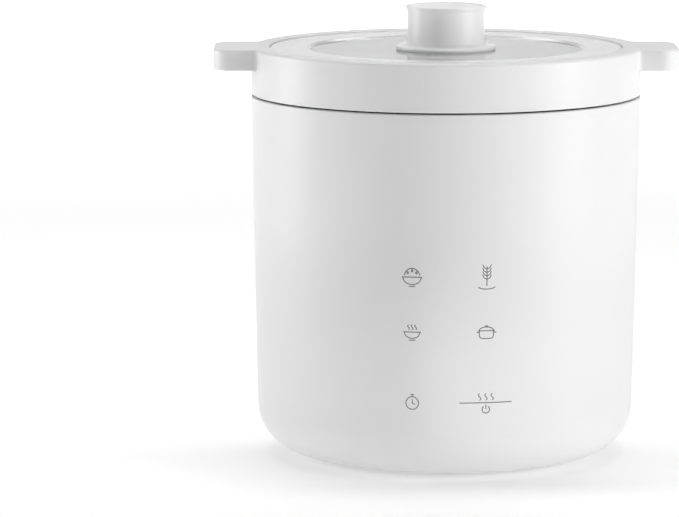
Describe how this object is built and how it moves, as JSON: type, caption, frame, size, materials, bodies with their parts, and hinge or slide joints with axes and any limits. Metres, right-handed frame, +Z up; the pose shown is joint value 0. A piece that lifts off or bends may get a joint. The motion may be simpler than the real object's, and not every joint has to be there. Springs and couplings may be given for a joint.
{
  "type": "rice cooker",
  "caption": "Small round electric rice cooker: lift-out inner pot with an eared collar, flat glass lid with a round knob, touch keys, rear mains inlet.",
  "frame": {"origin": "on the table, under the middle of the body", "axes": "+Z up, the touch keys face -Y, the two ears of the pot point along +X and -X"},
  "size_m": [0.2382, 0.2, 0.2314],
  "materials": {
    "shell_white": "satin, fine texture",
    "collar_white": "satin",
    "trim_white": "matte",
    "lid_white": "semi-gloss",
    "knob_white": "semi-gloss",
    "lid_glass": "clear, polished",
    "silicone": "translucent matte",
    "pot_coating": "dark non-stick, faintly speckled",
    "liner_metal": "brushed",
    "base_plastic": "matte, fine texture",
    "bracket_plastic": "matte",
    "foot_rubber": "matte",
    "cast_aluminium": "cast, turned top",
    "element_steel": "dull",
    "ceramic_white": "glazed",
    "zinc_steel": "zinc plated",
    "screw_steel": "zinc plated",
    "spring_steel": "bright drawn wire",
    "sensor_metal": "turned",
    "sensor_epoxy": "gloss",
    "fuse_brass": "dull",
    "board_green": "solder mask",
    "relay_blue": "matte",
    "tape_yellow": "tape",
    "film_yellow": "matte",
    "sleeve_blue": "shrink sleeve",
    "disc_blue": "dipped",
    "fuse_glass": "clear",
    "terminal_white": "matte",
    "chip_black": "matte",
    "spring_gold": "gold plated",
    "led_white": "diffuse lens",
    "ribbon_grey": "pvc",
    "inlet_black": "semi-gloss",
    "pin_nickel": "nickel plated",
    "lead_brown": "pvc",
    "lead_green": "pvc",
    "lead_red": "silicone rubber",
    "lead_black": "pvc"
  },
  "bodies": {
    "base": {"outer_shell": "shell_white", "top_trim_ring": "trim_white", "inner_liner": "liner_metal", "base_plate": "base_plastic", "sensor_housing": "base_plastic", "control_bracket": "bracket_plastic", "rubber_feet": "foot_rubber", "heater_plate": "cast_aluminium", "heater_element": "element_steel", "heater_terminals": "ceramic_white", "plate_supports": "zinc_steel", "base_screws": "screw_steel", "support_screws": "screw_steel", "housing_screws": "screw_steel", "board_screws": "screw_steel", "bracket_screws": "screw_steel", "inlet_screws": "screw_steel", "sensor_spring": "spring_steel", "fuse_clip": "spring_steel", "thermal_fuse": "fuse_brass", "power_board": "board_green", "control_board": "board_green", "relay": "relay_blue", "transformer": "tape_yellow", "film_capacitor": "film_yellow", "bulk_capacitor": "sleeve_blue", "varistor": "disc_blue", "line_fuse": "fuse_glass", "terminal_block": "terminal_white", "ribbon_header": "terminal_white", "control_chip": "chip_black", "buzzer": "chip_black", "touch_springs": "spring_gold", "key_leds": "led_white", "ribbon_cable": "ribbon_grey", "power_inlet": "inlet_black", "inlet_pins": "pin_nickel", "mains_leads": "lead_brown", "earth_lead": "lead_green", "heater_leads": "lead_red", "sensor_lead": "lead_black"},
    "sensor": {"sensor_cap": "sensor_metal", "thermistor": "sensor_epoxy", "sensor_clip": "spring_steel"},
    "pot": {"inner_pot": "pot_coating", "pot_collar": "collar_white", "ear_covers": "collar_white", "clamp_ring": "trim_white", "clamp_screws": "screw_steel"},
    "lid": {"lid_ring": "lid_white", "lid_glass": "lid_glass", "lid_gasket": "silicone", "lid_retainer": "lid_white", "knob": "knob_white", "knob_cap": "knob_white", "knob_washers": "silicone", "knob_screw": "screw_steel", "vent_grommet": "silicone"}
  },
  "joints": [
    {"name": "pot_lift", "type": "slide", "parent": "base", "child": "pot", "axis": [0, 0, 1], "range_m": [0, 0.13]},
    {"name": "lid_lift", "type": "slide", "parent": "pot", "child": "lid", "axis": [0, 0, 1], "range_m": [0, 0.08]},
    {"name": "sensor_press", "type": "slide", "parent": "base", "child": "sensor", "axis": [0, 0, 1], "range_m": [-0.0025, 0], "stiffness_N_per_m": 400, "springref_m": 0.003, "deforming": ["sensor_spring"]}
  ]
}
